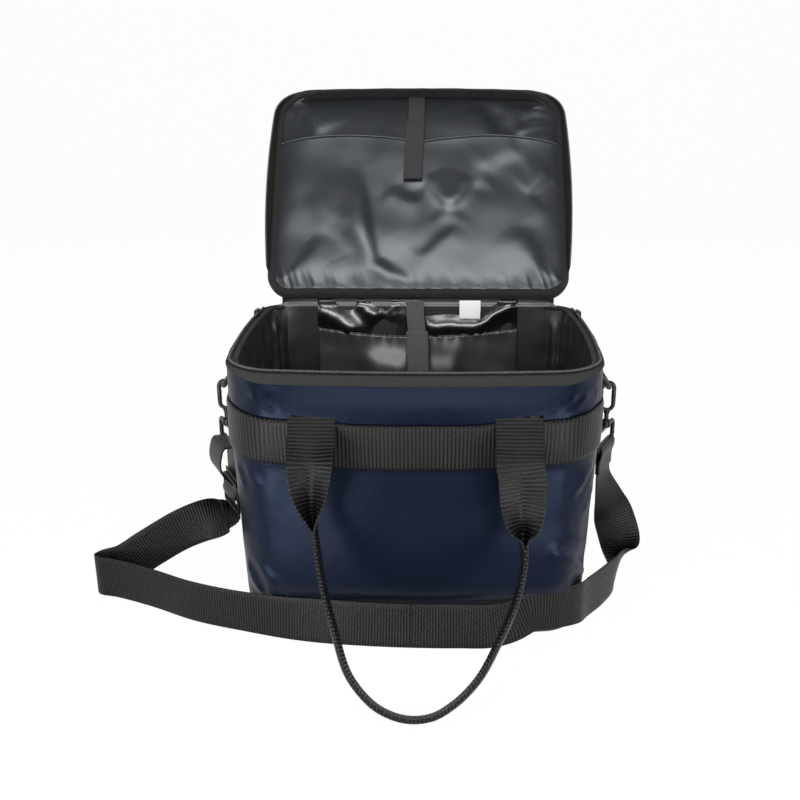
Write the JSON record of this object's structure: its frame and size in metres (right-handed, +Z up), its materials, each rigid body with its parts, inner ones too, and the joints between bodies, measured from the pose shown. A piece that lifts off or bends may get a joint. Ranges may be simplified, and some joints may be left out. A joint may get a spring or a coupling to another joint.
{
  "type": "insulated cooler bag",
  "caption": "Soft insulated cooler bag with a zipped lid shown open, webbing belt and carrying handles, and a clip-on shoulder strap.",
  "frame": {"origin": "on the floor under the middle of the bag's base", "axes": "+Z up, -Y towards the front with the pictured handle, +X to the right of someone looking at the front"},
  "size_m": [0.4944, 0.5004, 0.4351],
  "materials": {
    "navy_fabric": "coated woven polyester with a satin sheen",
    "lining": "dark grey satin lining, lightly puckered",
    "foam": "closed-cell foam",
    "black_tape": "woven tape",
    "webbing": "ribbed polypropylene webbing",
    "hook_and_loop": "hook-and-loop tape",
    "black_film": "glossy coated film",
    "zip_coil": "nylon coil",
    "black_nylon": "moulded nylon",
    "black_metal": "black coated die-cast metal",
    "label": "blank woven label"
  },
  "bodies": {
    "body": {"outer_shell": "navy_fabric", "base_panel": "navy_fabric", "liner_wall": "lining", "liner_floor": "lining", "rear_pocket": "lining", "wall_foam": "foam", "base_foam": "foam", "rim_tape": "black_tape", "hinge_strip": "black_tape", "belt": "webbing", "front_left_handle_anchor": "webbing", "front_right_handle_anchor": "webbing", "rear_left_handle_anchor": "webbing", "rear_right_handle_anchor": "webbing", "left_ring_tab": "webbing", "right_ring_tab": "webbing", "shoulder_strap": "webbing", "rear_hook_patch": "hook_and_loop", "rear_film": "black_film", "body_zip_coil": "zip_coil", "care_label": "label"},
    "lid": {"lid_cover": "navy_fabric", "lid_foam": "foam", "lid_lining": "lining", "lid_binding": "black_tape", "lid_zip_tape": "black_tape", "lid_zip_coil": "zip_coil", "lid_pocket": "lining", "lid_hook_patch": "hook_and_loop"},
    "lid_strap": {"lid_pocket_strap": "hook_and_loop"},
    "rear_strap": {"rear_pocket_strap": "hook_and_loop"},
    "front_handle": {"front_handle": "webbing"},
    "rear_handle": {"rear_handle": "webbing"},
    "left_slider": {"left_zip_slider": "black_metal"},
    "left_pull": {"left_zip_pull": "black_metal"},
    "left_ring": {"left_d_ring": "black_nylon", "strap_adjuster": "black_nylon"},
    "left_eye": {"left_swivel_eye": "black_metal", "left_strap_loop": "webbing"},
    "left_hook": {"left_snap_hook": "black_metal"},
    "left_gate": {"left_hook_gate": "black_metal"},
    "right_slider": {"right_zip_slider": "black_metal"},
    "right_pull": {"right_zip_pull": "black_metal"},
    "right_ring": {"right_d_ring": "black_nylon"},
    "right_eye": {"right_swivel_eye": "black_metal", "right_strap_loop": "webbing"},
    "right_hook": {"right_snap_hook": "black_metal"},
    "right_gate": {"right_hook_gate": "black_metal"}
  },
  "joints": [
    {"name": "lid_hinge", "type": "hinge", "parent": "body", "child": "lid", "pos_m": [0, 0.1128, 0.2455], "axis": [1, 0, 0], "range_deg": [-12, 127.5]},
    {"name": "lid_strap_flap", "type": "hinge", "parent": "lid", "child": "lid_strap", "pos_m": [0, 0.24475, 0.41878], "axis": [-1, 0, 0], "range_deg": [0, 80]},
    {"name": "rear_strap_flap", "type": "hinge", "parent": "body", "child": "rear_strap", "pos_m": [0, 0.101, 0.2385], "axis": [-1, 0, 0], "range_deg": [0, 80]},
    {"name": "front_handle_swing", "type": "hinge", "parent": "body", "child": "front_handle", "pos_m": [0, -0.12234, 0.198], "axis": [-1, 0, 0], "range_deg": [0, 130]},
    {"name": "rear_handle_swing", "type": "hinge", "parent": "body", "child": "rear_handle", "pos_m": [0, 0.11491, 0.198], "axis": [1, 0, 0], "range_deg": [0, 80]},
    {"name": "left_slider_travel", "type": "hinge", "parent": "body", "child": "left_slider", "pos_m": [0.74549, 0, 0.2364], "axis": [0, 0, 1], "range_deg": [0, 9]},
    {"name": "left_pull_flap", "type": "hinge", "parent": "left_slider", "child": "left_pull", "pos_m": [-0.15174, 0.074, 0.2382], "axis": [0, 1, 0], "range_deg": [0, 80]},
    {"name": "left_ring_swing", "type": "hinge", "parent": "body", "child": "left_ring", "pos_m": [-0.15669, 0, 0.203], "axis": [0, 1, 0], "range_deg": [0, 40]},
    {"name": "left_clip_swing", "type": "hinge", "parent": "left_ring", "child": "left_eye", "pos_m": [-0.16903, 0, 0.18601], "axis": [0, 1, 0], "range_deg": [0, 20]},
    {"name": "left_hook_swivel", "type": "hinge", "parent": "left_eye", "child": "left_hook", "pos_m": [-0.16903, 0, 0.18601], "axis": [0, 0, 1], "range_deg": [-35, 35]},
    {"name": "left_gate_spring", "type": "hinge", "parent": "left_hook", "child": "left_gate", "pos_m": [-0.16273, 0, 0.17071], "axis": [0, -1, 0], "range_deg": [0, 22], "stiffness_Nm_per_rad": 0.02, "springref_deg": -17.19},
    {"name": "right_slider_travel", "type": "hinge", "parent": "body", "child": "right_slider", "pos_m": [-0.74549, 0, 0.2364], "axis": [0, 0, -1], "range_deg": [0, 9]},
    {"name": "right_pull_flap", "type": "hinge", "parent": "right_slider", "child": "right_pull", "pos_m": [0.15174, 0.074, 0.2382], "axis": [0, -1, 0], "range_deg": [0, 80]},
    {"name": "right_ring_swing", "type": "hinge", "parent": "body", "child": "right_ring", "pos_m": [0.15669, 0, 0.203], "axis": [0, -1, 0], "range_deg": [0, 40]},
    {"name": "right_clip_swing", "type": "hinge", "parent": "right_ring", "child": "right_eye", "pos_m": [0.16903, 0, 0.18601], "axis": [0, -1, 0], "range_deg": [0, 20]},
    {"name": "right_hook_swivel", "type": "hinge", "parent": "right_eye", "child": "right_hook", "pos_m": [0.16903, 0, 0.18601], "axis": [0, 0, 1], "range_deg": [-35, 35]},
    {"name": "right_gate_spring", "type": "hinge", "parent": "right_hook", "child": "right_gate", "pos_m": [0.16273, 0, 0.17071], "axis": [0, 1, 0], "range_deg": [0, 22], "stiffness_Nm_per_rad": 0.02, "springref_deg": -17.19}
  ]
}
